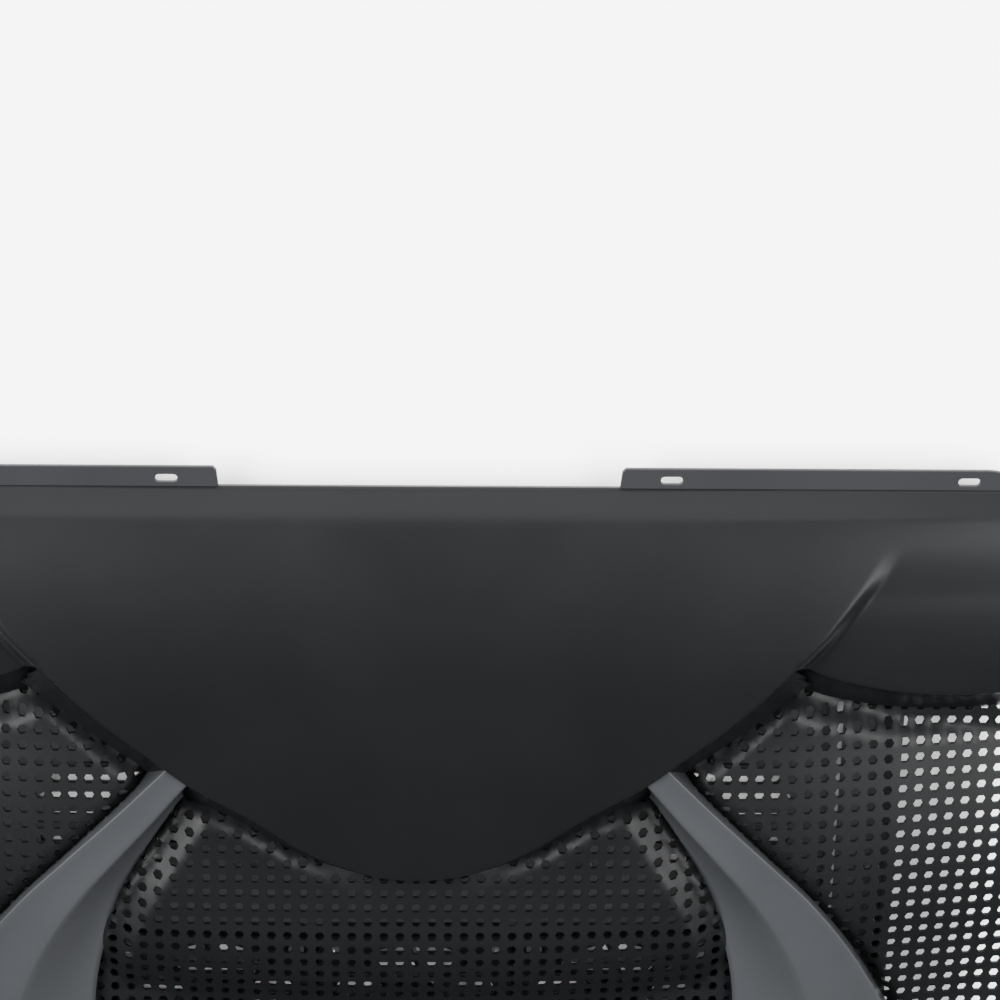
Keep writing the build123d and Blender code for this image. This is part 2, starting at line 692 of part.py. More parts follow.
# ---------------------------------------------------------------- write everything
def main():
    os.makedirs("parts", exist_ok=True)
    deck_top = deck_block(0, 0)
    cowl_solid = cowl_block(0, 0)
    rib = make_rib(deck_top, cowl_solid)
    write(make_deck(), "perforated_deck")
    write(make_cowl(deck_top), "rear_cowl")
    write(rib, "rib_right")
    write(mirrored(rib), "rib_left")
    write(make_bezel(), "front_bezel")
    write(make_tray(), "bottom_tray")
    for name, x in FANS.items():
        write(make_fan_frame(x), "fan_frame_" + name)
        write(make_fan_stator(x), "fan_stator_" + name)
        write(make_fan_rotor(x), "fan_rotor_" + name)
    write(make_fan_screws(), "fan_screws")
    write(make_casing_screws(), "casing_screws")
    for side in ("left", "right"):
        write(make_stop(STOP_XS[side]), "laptop_stop_" + side)
        write(make_stop_pin(STOP_XS[side]), "stop_pin_" + side)
        write(make_leg(LEG_XS[side]), "rear_leg_" + side)
        write(make_leg_pin(LEG_XS[side]), "leg_pin_" + side)
        write(make_leg_pad(LEG_XS[side]), "leg_pad_" + side)
    write(make_button(), "power_button")
    write(make_switch(), "power_switch")
    write(make_dial(), "speed_dial")
    write(make_potentiometer(), "speed_potentiometer")
    write(make_lamp_lens(), "lamp_lens")
    write(make_lamp(), "status_lamp")
    write(make_board(), "control_board")
    for name, x in SOCKET_XS.items():
        write(make_socket(x), name)
    write(make_socket_board(), "socket_board")
    write(make_fan_leads(), "fan_leads")
    write(make_feed_lead(), "feed_lead")
    write(make_feet(), "rubber_feet")


main()
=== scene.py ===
"""The looks of a laptop cooling pad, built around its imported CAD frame.

Lengths in this script are in millimetres until a mesh is made, where MM turns them into metres.
Lights are placed in metres.
"""

import math

import bpy
import numpy as np
from mathutils import Matrix, Vector


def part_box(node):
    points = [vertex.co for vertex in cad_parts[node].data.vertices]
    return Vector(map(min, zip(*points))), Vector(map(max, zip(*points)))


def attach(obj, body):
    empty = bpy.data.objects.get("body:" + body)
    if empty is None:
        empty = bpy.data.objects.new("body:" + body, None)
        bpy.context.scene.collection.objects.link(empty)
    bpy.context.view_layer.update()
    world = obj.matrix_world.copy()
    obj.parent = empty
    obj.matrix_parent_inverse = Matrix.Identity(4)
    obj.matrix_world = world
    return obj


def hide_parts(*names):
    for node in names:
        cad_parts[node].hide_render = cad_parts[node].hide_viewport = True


MM = 0.001

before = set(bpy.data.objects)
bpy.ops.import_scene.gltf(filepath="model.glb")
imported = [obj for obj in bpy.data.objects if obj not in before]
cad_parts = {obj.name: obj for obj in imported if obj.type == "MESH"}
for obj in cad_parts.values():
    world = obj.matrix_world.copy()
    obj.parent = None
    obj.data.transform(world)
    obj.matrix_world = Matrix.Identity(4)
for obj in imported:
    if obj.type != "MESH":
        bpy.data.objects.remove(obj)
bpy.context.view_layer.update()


def node_box(name):
    """A node's lowest and highest corners, in millimetres."""
    low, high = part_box(name)
    return np.array(low) / MM, np.array(high) / MM


# ---------------------------------------------------------------- sizes from the frame
cowl_low, cowl_high = node_box("rear_cowl")
deck_low, deck_high = node_box("perforated_deck")

HALF_WIDTH = cowl_high[0]
FLANGE_REAR = cowl_high[1]
FLANGE_TOP = 16.0
SEAM_Z = cowl_low[2]                 # the cowl, deck and ribs end here, at the tray
BAND_REAR = FLANGE_REAR - 7.0        # line where the tabs meet the cowl
DECK_REAR = deck_high[1]
DECK_FRONT = deck_low[1]
CREST_Z = cowl_high[2]
BAND_FRONT = 134.5                   # the straight band along the rear starts here
BAND_FRONT_Z = 23.6
CREST_Y = 76.0
TIP_Z = 33.6
CORNER = 22.0                        # radius of the pad's rear corners in plan
BEZEL_TOP = 25.0

# ---------------------------------------------------------------- outlines, right half, in plan
SHIELD_EDGE = [
    (0.0, 0.0), (11.0, 1.2), (22.0, 4.4), (37.0, 11.2), (57.0, 25.4), (80.0, 40.2), (93.0, 51.0),
    (106.0, 61.8), (118.0, 73.0), (130.0, 86.0), (138.0, 94.8), (145.0, 104.3), (153.0, 115.5),
    (160.0, 127.0), (167.0, 140.0), (180.0, 160.0), (216.0, 200.0),
]
POD_EDGE = [
    (128.0, 86.0), (138.4, 80.2), (155.0, 75.0), (168.4, 72.4), (184.4, 71.2), (201.0, 71.6), (216.0, 73.5),
]
POD_BLEND = (108.0, 128.0)           # Y over which a pod rises into the rear band
POD_HEIGHTS = [                      # (Y, Z) along the middle of a pod
    (66.0, 31.6), (76.0, 32.6), (84.0, 33.2), (94.0, 33.4), (104.0, 32.8), (112.0, 31.2), (119.0, 29.0),
    (126.0, 26.3),
]
POD_FOOT_Z = 16.5
POD_START = 110.0                    # the pods begin under the shield, this far from the middle
FLANK = 5.0                          # width of the slope from the shield down to a pod
POD_END = 6.0                        # a pod's round end is this wide,
POD_END_DROP = 4.0                   # and this much lower at its edge
POD_END_TURN = 0.97                  # it stops a little short of upright
CROWN_FLAT = 90.0                    # the cowl is level this far from the middle,
CROWN_RUN = 126.0                    # and from there to its sides
CROWN_DROP = 0.30                    # it loses this share of its height
TIP_OVERRUN = 6.0                    # the shield's front arc reaches this far past its tip
FLANK_ROUNDING = 0.12                # of the flank's two ends, as a share of its width
LIP_RADIUS = 1.1
FLANK_LEAN = 0.60                    # the front flank leans out by this share of its height,
LEAN_GAINS = [(0.16, 20, 110), (0.12, 125, 145)]   # and by more between these distances from the middle
POD_FOOT_RUN = (60, 130)             # the foot goes down to the pods' foot between these
FINE_FROM = 120.0                    # the cowl's grid is finer from here to its sides
CORNER_PULL = 150.0                  # only what is beyond this is pulled in at the round corners

RIB_OUTER = [
    (84.0, 49.0), (89.0, 43.7), (103.0, 29.0), (123.0, 9.0), (140.0, -8.5), (155.0, -28.0), (168.0, -50.0),
    (180.0, -76.0), (187.0, -98.0), (190.0, -119.0),
]
RIB_CREASE = [
    (75.0, 44.0), (80.0, 38.4), (90.6, 25.4), (105.0, 8.4), (117.0, -6.2), (127.0, -21.3), (134.0, -34.5),
    (140.0, -50.0), (145.0, -82.0), (147.0, -119.0),
]
RIB_BASE = [
    (73.0, 39.0), (78.0, 32.0), (92.0, 9.7), (100.5, -5.0), (109.0, -24.6), (114.0, -44.0), (115.5, -60.0),
    (112.0, -84.0), (100.0, -104.0), (84.0, -119.0),
]
RIB_STATIONS = 90
RIB_ROUND = 0.5                      # radius of the outer top edge
RIB_CREASE_SOFT = 1.5                # the flat top ends this far before the crease,
RIB_FALL_START = 0.7                 # and the inner wall starts this far before it
RIB_SAG = 0.03                       # hollow of the top, as a share of its width
RIB_RISE = 1.3                       # how the rib's height grows from front to rear
RIB_WALL = 1.8
RIB_REAR_Z = 37.4
RIB_FOOT_Z = 21.0
RIB_FRONT_Z = BEZEL_TOP + 0.2

# ---------------------------------------------------------------- the deck's grid of holes
PITCH = 5.7
HOLE_ACROSS = 3.65                    # a hexagon's width between its left and right corners
HOLE_HIGH = 3.15                      # and between its flats
ROW_PHASE = 2.25                      # of the rows, from the deck's front edge
DECK_THICK = 1.3


# ---------------------------------------------------------------- curve and mesh helpers
def through(points):
    """A smooth function y(x) through points in rising x."""
    xs, ys = np.array(points, dtype=float).T
    slopes = np.gradient(ys, xs)

    def value(x):
        x = np.clip(np.asarray(x, dtype=float), xs[0], xs[-1])
        i = np.clip(np.searchsorted(xs, x) - 1, 0, len(xs) - 2)
        span = xs[i + 1] - xs[i]
        t = (x - xs[i]) / span
        near = ys[i] * (1 + 2 * t) * (1 - t) ** 2 + ys[i + 1] * t * t * (3 - 2 * t)
        return near + span * (slopes[i] * t * (1 - t) ** 2 + slopes[i + 1] * t * t * (t - 1))

    return value


def plan_curve(points, count):
    """Evenly spaced points on a smooth plan curve through the given ones."""
    points = np.array(points, dtype=float)
    steps = np.concatenate([[0], np.cumsum(np.linalg.norm(np.diff(points, axis=0), axis=1))])
    along = np.linspace(0, steps[-1], count)
    x = through(np.column_stack([steps, points[:, 0]]))(along)
    y = through(np.column_stack([steps, points[:, 1]]))(along)
    return np.column_stack([x, y])


def smoothstep(low, high, value):
    """A smooth step from 0 at low to 1 at high."""
    t = np.clip((value - low) / (high - low), 0, 1)
    return t * t * (3 - 2 * t)


def distance_to(curve, points):
    """Distance in plan from each point to a densely sampled curve."""
    best = np.full(len(points), 1e9)
    for start in range(0, len(curve), 40):
        part = curve[start:start + 40]
        gap = points[:, None, :] - part[None, :, :]
        best = np.minimum(best, np.sqrt((gap ** 2).sum(axis=2)).min(axis=1))
    return best


def new_mesh(name, verts, faces):
    """A mesh object from vertices in millimetres."""
    mesh = bpy.data.meshes.new(name)
    mesh.from_pydata((np.asarray(verts, dtype=float) * MM).tolist(), [], faces)
    mesh.update()
    mesh.polygons.foreach_set("use_smooth", [True] * len(mesh.polygons))
    piece = bpy.data.objects.new(name, mesh)
    bpy.context.scene.collection.objects.link(piece)
    return piece


def grid_faces(rows, columns, first=0, flip=False):
    """Quads of a grid of vertices stored row by row."""
    faces = []
    for i in range(rows - 1):
        for j in range(columns - 1):
            a = first + i * columns + j
            quad = (a, a + 1, a + columns + 1, a + columns)
            faces.append(quad[::-1] if flip else quad)
    return faces


def apply_modifiers(piece):
    """Bakes a piece's modifiers into its mesh."""
    graph = bpy.context.evaluated_depsgraph_get()
    mesh = bpy.data.meshes.new_from_object(piece.evaluated_get(graph))
    piece.modifiers.clear()
    piece.data = mesh
    return piece


def join(pieces, name):
    """One object out of several."""
    with bpy.context.temp_override(active_object=pieces[0], selected_editable_objects=pieces):
        bpy.ops.object.join()
    pieces[0].name = name
    return pieces[0]


def thicken(piece, thickness):
    """Gives a sheet its wall thickness, below its face."""
    solidify = piece.modifiers.new("wall", "SOLIDIFY")
    solidify.thickness = thickness * MM
    solidify.offset = -1
    solidify.use_even_offset = False
    return apply_modifiers(piece)


# ---------------------------------------------------------------- heights of the cowl
shield_edge = through(SHIELD_EDGE)
pod_edge = through(POD_EDGE)
pod_front_heights = through(POD_HEIGHTS)


def shield_side(y):
    """Side profile of the shield: a straight band, an arc up to the crest, a flatter arc to the tip."""
    y = np.asarray(y, dtype=float)
    run = BAND_FRONT - CREST_Y
    rise = CREST_Z - BAND_FRONT_Z
    rear_radius = (run * run + rise * rise) / (2 * rise)
    reach = CREST_Y + TIP_OVERRUN
    front_radius = reach * reach / (2 * (CREST_Z - TIP_Z))
    away = np.minimum(y, BAND_FRONT) - CREST_Y
    radius = np.where(away > 0, rear_radius, front_radius)
    arc = CREST_Z - (radius - np.sqrt(np.maximum(radius ** 2 - away ** 2, 0)))
    fall = (BAND_FRONT_Z - FLANGE_TOP) / (BAND_REAR - BAND_FRONT)
    return arc - fall * np.clip(y - BAND_FRONT, 0, None)


def crown(x):
    """How much of its height the cowl keeps towards its sides."""
    return 1 - CROWN_DROP * (np.clip(np.abs(x) - CROWN_FLAT, 0, None) / CROWN_RUN) ** 2


def shield_height(x, y):
    """Height of the shield's surface."""
    return FLANGE_TOP + (shield_side(y) - FLANGE_TOP) * crown(x)


def pod_height(x, y):
    """Height of a pod: its own profile in front, the straight band of the rear behind it."""
    y = np.asarray(y, dtype=float)
    to_band = smoothstep(*POD_BLEND, y)
    side = pod_front_heights(np.minimum(y, POD_BLEND[1])) * (1 - to_band) + shield_side(y) * to_band
    height = FLANGE_TOP + (side - FLANGE_TOP) * crown(x)
    turn = np.clip((np.abs(x) - (HALF_WIDTH - POD_END)) / POD_END, 0, 1)
    return height - POD_END_DROP * (1 - np.sqrt(1 - turn ** 2 * POD_END_TURN))


def soft_corner(value, rounding):
    """Nothing below 0 and the value itself above, with a rounded corner between."""
    bend = (value + rounding) ** 2 / (4 * rounding)
    return np.where(value <= -rounding, 0, np.where(value >= rounding, value, bend))


def ramp(value, rounding):
    """A straight ramp from 0 to 1 whose two ends are rounded."""
    return soft_corner(value, rounding) - soft_corner(value - 1, rounding)


# ---------------------------------------------------------------- the cowl
def cowl_height(x, y):
    """The shield, the pods beside it and the flank between them, as one surface."""
    points = np.column_stack([np.abs(x), y])
    edge = plan_curve(SHIELD_EDGE, 500)
    inside = np.where(points[:, 1] > shield_edge(points[:, 0]), 1, -1) * distance_to(edge, points)
    share = ramp(1 + inside / FLANK, FLANK_ROUNDING)
    low = pod_height(x, y)
    return low + (shield_height(x, y) - low) * share


def front_line(x):
    """Front edge of the cowl: the shield's edge in the middle, the pods' edges at the sides."""
    x = np.abs(x)
    return np.where(x < POD_START, shield_edge(x), np.minimum(shield_edge(x), pod_edge(x)))


def cowl_stations():
    """X of the cowl's grid lines, closer together towards its ends."""
    half = np.concatenate([
        np.linspace(0, FINE_FROM, 96),
        np.linspace(FINE_FROM, HALF_WIDTH - POD_END, 84)[1:],
        HALF_WIDTH - POD_END + POD_END * np.sin(np.linspace(0, math.pi / 2, 7))[1:],
    ])
    return np.concatenate([-half[:0:-1], half])


def outward_of(edge):
    """Unit vectors in plan that point forwards out of the cowl, along its front edge."""
    tangent = np.gradient(edge, axis=0)
    tangent /= np.linalg.norm(tangent, axis=1)[:, None]
    return np.column_stack([tangent[:, 1], -tangent[:, 0]])


def flank_rows(edge, outward):
    """Rows of the sloped front flank, from its foot up to the lip."""
    side = np.abs(edge[:, 0])
    foot_z = RIB_FOOT_Z - (RIB_FOOT_Z - POD_FOOT_Z) * smoothstep(*POD_FOOT_RUN, side)
    top = cowl_height(edge[:, 0], edge[:, 1])
    lean = FLANK_LEAN
    for gain, near, far in LEAN_GAINS:
        lean = lean + gain * smoothstep(near, far, side)
    foot_out = (top - foot_z) * lean
    rows = []
    for step in np.linspace(1, 0, 8)[:-1]:
        place = edge + outward * (foot_out * step)[:, None]
        place[:, 0] = np.clip(place[:, 0], -HALF_WIDTH, HALF_WIDTH)
        rows.append(np.column_stack([place, top - LIP_RADIUS - (top - LIP_RADIUS - foot_z) * step]))
    return rows


def lip_rows(edge, outward):
    """Rows of the rounded lip between the flank and the top."""
    rows = []
    for turn in np.linspace(0, math.pi / 2, 6):
        place = edge - outward * LIP_RADIUS * (1 - math.cos(turn))
        below = LIP_RADIUS * (1 - math.sin(turn))
        rows.append(np.column_stack([place, cowl_height(place[:, 0], place[:, 1]) - below]))
    return rows


def top_rows(start):
    """Rows from the lip back to the line of the tabs, and the rear wall's foot."""
    rear = np.column_stack([start[:, 0], np.full(len(start), BAND_REAR)])
    rows = []
    for share in np.linspace(0, 1, 73)[1:]:
        place = start + (rear - start) * share
        rows.append(np.column_stack([place, cowl_height(place[:, 0], place[:, 1])]))
    wall = rows[-1].copy()
    wall[:, 2] = SEAM_Z
    return rows + [wall]


def round_rear_corners(grid):
    """Pulls the sides of the grid in where the pad's rear corners are round."""
    over = np.clip(grid[:, :, 1] - (FLANGE_REAR - CORNER), 0, CORNER)
    reach = HALF_WIDTH - CORNER + np.sqrt(CORNER ** 2 - over ** 2)
    outer = np.clip(np.abs(grid[:, :, 0]) - CORNER_PULL, 0, None)
    grid[:, :, 0] -= np.sign(grid[:, :, 0]) * outer * (HALF_WIDTH - reach) / (HALF_WIDTH - CORNER_PULL)


def cowl_shell():
    """The whole cowl as one grid, from the foot of its front flank to the rear wall."""
    xs = cowl_stations()
    edge = np.column_stack([xs, front_line(xs)])
    outward = outward_of(edge)
    rows = flank_rows(edge, outward) + lip_rows(edge, outward)
    rows += top_rows(rows[-1][:, :2])
    grid = np.stack(rows)
    round_rear_corners(grid)
    left, right = grid[:, :1].copy(), grid[:, -1:].copy()
    left[:, :, 2] = SEAM_Z
    right[:, :, 2] = SEAM_Z
    grid = np.concatenate([left, grid, right], axis=1)
    return new_mesh("cowl_shell", grid.reshape(-1, 3), grid_faces(grid.shape[0], grid.shape[1]))


def slot_outline(x, y, length, width):
    """A slot along X with round ends."""
    reach = length / 2 - width / 2
    points = []
    for end in (1, -1):
        for k in range(9):
            angle = -math.pi / 2 + math.pi * k / 8
            across = reach + width / 2 * math.cos(angle)
            points.append(Vector((x + end * across, y + end * width / 2 * math.sin(angle))))
    return points


def plate(name, outlines, z_low, z_high, bevel):
    """A flat plate from one outer outline and its holes, with softened edges."""
    curve = bpy.data.curves.new(name, "CURVE")
    curve.dimensions = "2D"
    curve.fill_mode = "BOTH"
    curve.extrude = ((z_high - z_low) / 2 - bevel) * MM
    curve.bevel_depth = bevel * MM
    curve.bevel_resolution = 2
    curve.offset = -bevel * MM
    for outline in outlines:
        spline = curve.splines.new("POLY")
        spline.points.add(len(outline) - 1)
        for point, place in zip(spline.points, outline):
            point.co = (place.x * MM, place.y * MM, 0, 1)
        spline.use_cyclic_u = True
    shape = bpy.data.objects.new(name, curve)
    bpy.context.scene.collection.objects.link(shape)
    graph = bpy.context.evaluated_depsgraph_get()
    mesh = bpy.data.meshes.new_from_object(shape.evaluated_get(graph))
    bpy.data.objects.remove(shape)
    mesh.transform(Matrix.Translation((0, 0, (z_low + z_high) / 2 * MM)))
    piece = bpy.data.objects.new(name, mesh)
    bpy.context.scene.collection.objects.link(piece)
    return piece


COWL_WALL = 2.2
TAB_INNER = 69.0
TAB_THICK = 2.0
TAB_ROOT = 2.5                       # the tabs start this far inside the cowl
TAB_SLANT = 0.9
TAB_CHAMFER = 1.2
TAB_SOFT = 0.25                      # bevel of the edges
SLOT_XS = (86.0, 188.0)
SLOT_Y = 145.8
SLOT_LENGTH = 7.6
SLOT_WIDTH = 2.8


def flange_tab(side):
    """One slotted tab on the rear edge; its outer end follows the pad's round corner."""
    root = BAND_REAR - TAB_ROOT
    outline = [
        Vector((TAB_INNER - TAB_SLANT, root)),
        Vector((TAB_INNER, FLANGE_REAR - TAB_CHAMFER)),
        Vector((TAB_INNER + TAB_CHAMFER, FLANGE_REAR)),
    ]
    end = math.acos((root - (FLANGE_REAR - CORNER)) / CORNER)
    for turn in np.linspace(0, end, 14):
        x = HALF_WIDTH - CORNER + CORNER * math.sin(turn)
        outline.append(Vector((x, FLANGE_REAR - CORNER + CORNER * math.cos(turn))))
    outlines = [outline] + [slot_outline(x, SLOT_Y, SLOT_LENGTH, SLOT_WIDTH) for x in SLOT_XS]
    if side < 0:
        outlines = [[Vector((-point.x, point.y)) for point in reversed(line)] for line in outlines]
    return plate("tab", outlines, FLANGE_TOP - TAB_THICK, FLANGE_TOP, TAB_SOFT)


def make_cowl(skin, painted_highlight_skin):
    """The shell and its two tabs as one piece; the tabs get a paler copy of the shell's black, a painted
    highlight for the light they catch from the rear.
    """
    shell = thicken(cowl_shell(), COWL_WALL)
    give(shell, skin)
    tabs = [flange_tab(1), flange_tab(-1)]
    for tab in tabs:
        give(tab, painted_highlight_skin)
    cowl = join([shell] + tabs, "cowl_moulding")
    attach(cowl, "base")
    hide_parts("rear_cowl")
    return cowl


# ---------------------------------------------------------------- the perforated deck
SIDE_PANEL = through([               # (Y, Z) along the middle of a side panel
    (-116.0, 19.8), (-90.0, 20.2), (-62.0, 22.0), (-46.0, 24.2), (-29.0, 26.6), (-18.0, 28.6), (-6.0, 29.8),
    (6.0, 30.2), (17.0, 29.8), (28.0, 28.8), (39.0, 27.2), (51.0, 25.0), (62.0, 23.6), (90.0, 21.0),
    (124.0, 17.0),
])
PANEL_FALL = through([               # (X, rise) across a side panel
    (84.0, 5.0), (114.0, 4.4), (131.0, 3.6), (148.0, 2.0), (165.0, 0.0), (182.0, -2.5), (200.0, -5.0),
    (216.0, -7.6),
])
MIDDLE_PANEL = through([             # (Y, Z) along the middle of the pad
    (-116.0, 19.8), (-90.0, 19.4), (-70.0, 19.4), (-60.0, 20.6), (-52.0, 23.6), (-46.0, 26.7), (-40.6, 29.2),
    (-35.0, 31.0), (-29.0, 31.9), (-17.0, 31.7), (0.0, 31.0), (28.0, 30.0), (60.0, 28.0), (90.0, 22.0),
    (124.0, 17.0),
])
MIDDLE_FALL = (1.2, 4.4)             # how much lower the middle panel is beside the ribs, rear and front
MIDDLE_HALF = 90.0
RIB_BACK = 60.0                      # the ribs divide the deck only in front of this
DECK_LOWEST = 18.0
UNDER_RIB_Z = 19.5
POD_GROOVE = (7.5, 12.0, 21.0)       # depth of a groove, and where it starts and ends to fade beside an edge
INNER_GROOVE = (4.0, 2.0, 11.0)
OUTER_GROOVE = (3.5, 0.5, 5.0)
SHIELD_GROOVE_DEPTH = 6.0
SHIELD_GROOVE_FADE = 7.0
EDGE_STEPS = [(0.5, 0.0), (0.82, -0.35), (1.0, -1.4)]   # how the deck's edge rolls: share outwards and drop
EDGE_WALL = 2.0
SIDE_NEAR = 0.1                      # on the side of the pad, within this
NEAR = 0.01                          # on a border line, within this


def mirrored(curve):
    """A right-hand plan curve and its left-hand twin."""
    return np.vstack([curve, curve * (-1, 1)])


def rib_edge(outline, y):
    """X of an edge of the right rib at each y."""
    xs, ys = np.array(outline).T
    return np.interp(-y, -ys, xs)


def groove(curve, points, depth, near, far):
    """Depth of a groove beside a plan curve and its twin, fading between two distances from it."""
    return depth * (1 - smoothstep(near, far, distance_to(mirrored(curve), points)))


def panel_height(x, y):
    """Height of the bulging panels, before the grooves between them."""
    middle = smoothstep(4, -4, x - rib_edge(RIB_BASE, y) - 8) * (y < RIB_BACK)
    side_height = SIDE_PANEL(y) + PANEL_FALL(x) * smoothstep(-116, -60, y)
    fall = MIDDLE_FALL[0] + (MIDDLE_FALL[1] - MIDDLE_FALL[0]) * smoothstep(-2, -44, y)
    middle_height = MIDDLE_PANEL(y) - fall * (x / MIDDLE_HALF) ** 2 * smoothstep(-75, -55, y)
    return side_height * (1 - middle) + middle_height * middle


def deck_height(points):
    """Height of the deck's face at plan points."""
    x, y = np.abs(points[:, 0]), points[:, 1]
    height = panel_height(x, y)
    shield_near = 2.0 + 7.5 * smoothstep(30, 110, x)
    shield_depth = SHIELD_GROOVE_DEPTH * smoothstep(14, 46, x)
    shield = plan_curve(SHIELD_EDGE, 260)
    height -= groove(shield, points, shield_depth, shield_near, shield_near + SHIELD_GROOVE_FADE)
    height -= groove(plan_curve(POD_EDGE, 80), points, *POD_GROOVE)
    height -= groove(plan_curve(RIB_BASE, 200), points, *INNER_GROOVE)
    height -= groove(plan_curve(RIB_OUTER, 200), points, *OUTER_GROOVE)
    past_inner = smoothstep(0, 4, x - rib_edge(RIB_BASE, y))
    before_outer = smoothstep(0, 4, rib_edge(RIB_OUTER, y) - x)
    under_rib = past_inner * before_outer * (y < RIB_BACK)
    height -= under_rib * np.clip(height - UNDER_RIB_Z, 0, None)
    return np.maximum(height, DECK_LOWEST)


def hexagon():
    """The six corners of a hole about its centre, pointed to the left and right."""
    quarter = HOLE_ACROSS / 4
    half_high = HOLE_HIGH / 2
    return [(HOLE_ACROSS / 2, 0), (quarter, half_high), (-quarter, half_high), (-HOLE_ACROSS / 2, 0),
            (-quarter, -half_high), (quarter, -half_high)]


def cell_faces(ring, h):
    """Faces between the ring of a square cell and the corners h of its hexagonal hole."""
    return [
        (ring[0], ring[1], h[1], h[0]), (ring[1], ring[2], h[1]),
        (ring[2], ring[3], h[2]), (ring[2], h[2], h[1]),
        (ring[3], ring[4], h[3], h[2]), (ring[4], ring[5], h[4], h[3]),
        (ring[5], ring[6], h[4]), (ring[6], ring[7], h[5]),
        (ring[6], h[5], h[4]), (ring[7], ring[0], h[0], h[5]),
    ]


def deck_sheet():
    """The sheet in plan, as square cells with hexagonal holes: vertices, faces, rims and border."""
    columns = 2 * int((HALF_WIDTH - PITCH / 2 - 2) / PITCH) + 1
    first_row = DECK_FRONT + 2.0 + ROW_PHASE
    rows = int((DECK_REAR - first_row) / PITCH)
    verts, faces, rims, index = [], [], [], {}

    def shared(i, j):
        """A vertex on the half-pitch lattice of cell corners and edge middles."""
        key = (i, j)
        if key not in index:
            index[key] = len(verts)
            verts.append(((i / 2 - columns / 2) * PITCH, first_row + j / 2 * PITCH))
        return index[key]

    ring_steps = [(2, 1), (2, 2), (1, 2), (0, 2), (0, 1), (0, 0), (1, 0), (2, 0)]
    for column in range(columns):
        for row in range(rows):
            ring = [shared(2 * column + di, 2 * row + dj) for di, dj in ring_steps]
            x = (column + 0.5 - columns / 2) * PITCH
            y = first_row + (row + 0.5) * PITCH
            corners = [len(verts) + k for k in range(6)]
            verts.extend((x + dx, y + dy) for dx, dy in hexagon())
            rims.append(corners)
            faces += cell_faces(ring, corners)
    border = [index[i, 0] for i in range(2 * columns + 1)]
    border += [index[2 * columns, j] for j in range(1, 2 * rows + 1)]
    border += [index[i, 2 * rows] for i in range(2 * columns - 1, -1, -1)]
    border += [index[0, j] for j in range(2 * rows - 1, 0, -1)]
    return np.array(verts), faces, rims, border, columns / 2 * PITCH


def edge_loops(top, border, half_x):
    """Loops of places that roll the sheet's border outwards and take it down to the seam."""
    front, rear = top[border[0], 1], top[:, 1].max()
    loops = []
    for share, drop in EDGE_STEPS:
        loop = []
        for x, y, z in top[border]:
            out_x = np.sign(x) * (HALF_WIDTH - half_x) * share * (abs(x) > half_x - NEAR)
            to_rear = (DECK_REAR - rear) * (y > rear - NEAR)
            to_front = (DECK_FRONT - front) * (y < front + NEAR)
            loop.append((x + out_x, y + (to_rear + to_front) * share, z + drop))
        loops.append(loop)
    foot = [(x, y, SEAM_Z) for x, y, _ in loops[-1]]
    inner = []
    for x, y, z in foot:
        inwards = np.sign(x) * (EDGE_WALL if abs(x) > HALF_WIDTH - SIDE_NEAR else 0)
        inner.append((x - inwards, np.clip(y, DECK_FRONT + EDGE_WALL, DECK_REAR - EDGE_WALL), z))
    return loops + [foot, inner]


def band_faces(chain):
    """Quads between each closed loop of vertices in a chain and the next."""
    faces = []
    for upper, lower in zip(chain, chain[1:]):
        for k in range(len(upper)):
            n = (k + 1) % len(upper)
            faces.append((upper[k], lower[k], lower[n], upper[n]))
    return faces


def make_deck():
    """Both faces of the perforated sheet, the walls of its holes and its rolled edge."""
    plan, faces, rims, border, half_x = deck_sheet()
    count = len(plan)
    top = np.column_stack([plan, deck_height(plan)])
    under = [tuple(v + count for v in face[::-1]) for face in faces]
    walls = []
    for rim in rims:
        for a, b in zip(rim, rim[1:] + rim[:1]):
            walls.append((a, b, b + count, a + count))
    loops = edge_loops(top, border, half_x)
    ring = len(border)
    numbers = [[2 * count + n * ring + k for k in range(ring)] for n in range(len(loops))]
    skirt = band_faces([border] + numbers + [[v + count for v in border]])
    verts = np.vstack([top, top - (0, 0, DECK_THICK)] + [np.array(loop) for loop in loops])
    deck = new_mesh("deck_sheet", verts, faces + under + walls + skirt)
    wall_first = len(faces) + len(under)
    for polygon in deck.data.polygons[wall_first:wall_first + len(walls)]:
        polygon.use_smooth = False
    deck.data.update()
    mark_sharp_rims(deck, rims, count)
    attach(deck, "base")
    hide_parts("perforated_deck")
    return deck


def mark_sharp_rims(deck, rims, count):
    """Keeps the edges of the holes crisp under smooth shading."""
    rim_pairs = set()
    for rim in rims:
        for a, b in zip(rim, rim[1:] + rim[:1]):
            rim_pairs.add((min(a, b), max(a, b)))
            rim_pairs.add((min(a, b) + count, max(a, b) + count))
    for edge in deck.data.edges:
        if tuple(sorted(edge.vertices)) in rim_pairs:
            edge.use_edge_sharp = True


# ---------------------------------------------------------------- ribs
def rib_tops(outer):
    """Height of the rib's top at each station, from its rear end to its front end."""
    share = (outer[:, 1] - outer[-1, 1]) / (outer[1, 1] - outer[-1, 1])
    return RIB_FRONT_Z + (RIB_REAR_Z - RIB_FRONT_Z) * (1 - (1 - np.clip(share, 0, 1)) ** RIB_RISE)


